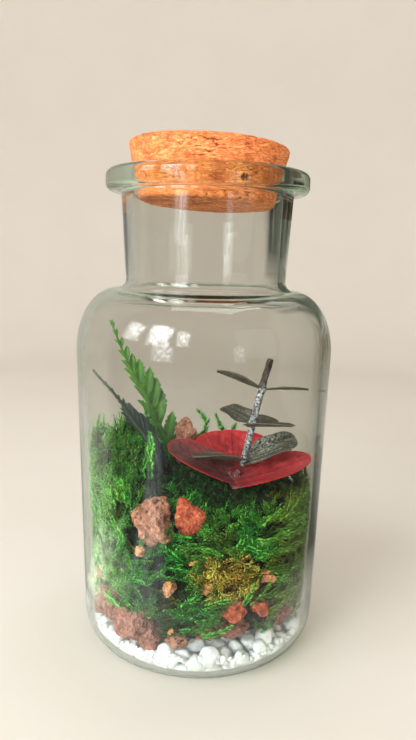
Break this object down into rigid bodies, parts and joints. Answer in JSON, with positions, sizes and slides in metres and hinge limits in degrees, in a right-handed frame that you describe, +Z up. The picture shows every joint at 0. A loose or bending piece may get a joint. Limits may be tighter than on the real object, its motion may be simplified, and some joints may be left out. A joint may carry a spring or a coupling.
{
  "type": "corked glass plant terrarium",
  "caption": "Corked wide-mouth glass jar holding a small planting of moss, fern, red leaves and grey eucalyptus over white gravel and red lava stones.",
  "frame": {"origin": "centre of the jar's foot, on the surface it stands on", "axes": "+Z up along the jar's axis; -Y towards the viewer of the picture; +X to the viewer's right"},
  "size_m": [0.08, 0.08, 0.1588],
  "materials": {
    "clear_glass": "clear moulded glass, faintly grey-green",
    "pressed_cork": "matte agglomerated cork with dark flecks",
    "white_gravel": "matte white marble chips",
    "green_moss": "matte, feathery preserved moss",
    "olive_moss": "matte, yellowed moss",
    "green_fern": "satin leaf",
    "dark_fern": "satin leaf, blue-black",
    "grey_eucalyptus": "satin leaf and stem with a white bloom",
    "red_leaf": "satin leaf, dyed crimson",
    "lava_red": "rough porous lava",
    "lava_orange": "rough porous lava",
    "lava_brown": "rough porous lava"
  },
  "bodies": {
    "root": {"glass_jar": "clear_glass", "cork_stopper": "pressed_cork", "gravel_bed": "white_gravel", "moss_green": "green_moss", "moss_olive": "olive_moss", "fern_frond_green": "green_fern", "fern_frond_dark": "dark_fern", "eucalyptus_sprig": "grey_eucalyptus", "red_leaf_whorl": "red_leaf", "lava_stone_01": "lava_red", "lava_stone_02": "lava_orange", "lava_stone_03": "lava_red", "lava_stone_04": "lava_red", "lava_stone_05": "lava_red", "lava_stone_06": "lava_red", "lava_stone_07": "lava_red", "lava_stone_08": "lava_brown", "lava_stone_09": "lava_orange", "lava_stone_10": "lava_orange", "lava_stone_11": "lava_brown", "lava_stone_12": "lava_brown", "lava_stone_13": "lava_orange", "lava_stone_14": "lava_orange", "lava_stone_15": "lava_orange", "lava_stone_16": "lava_orange"}
  },
  "joints": []
}
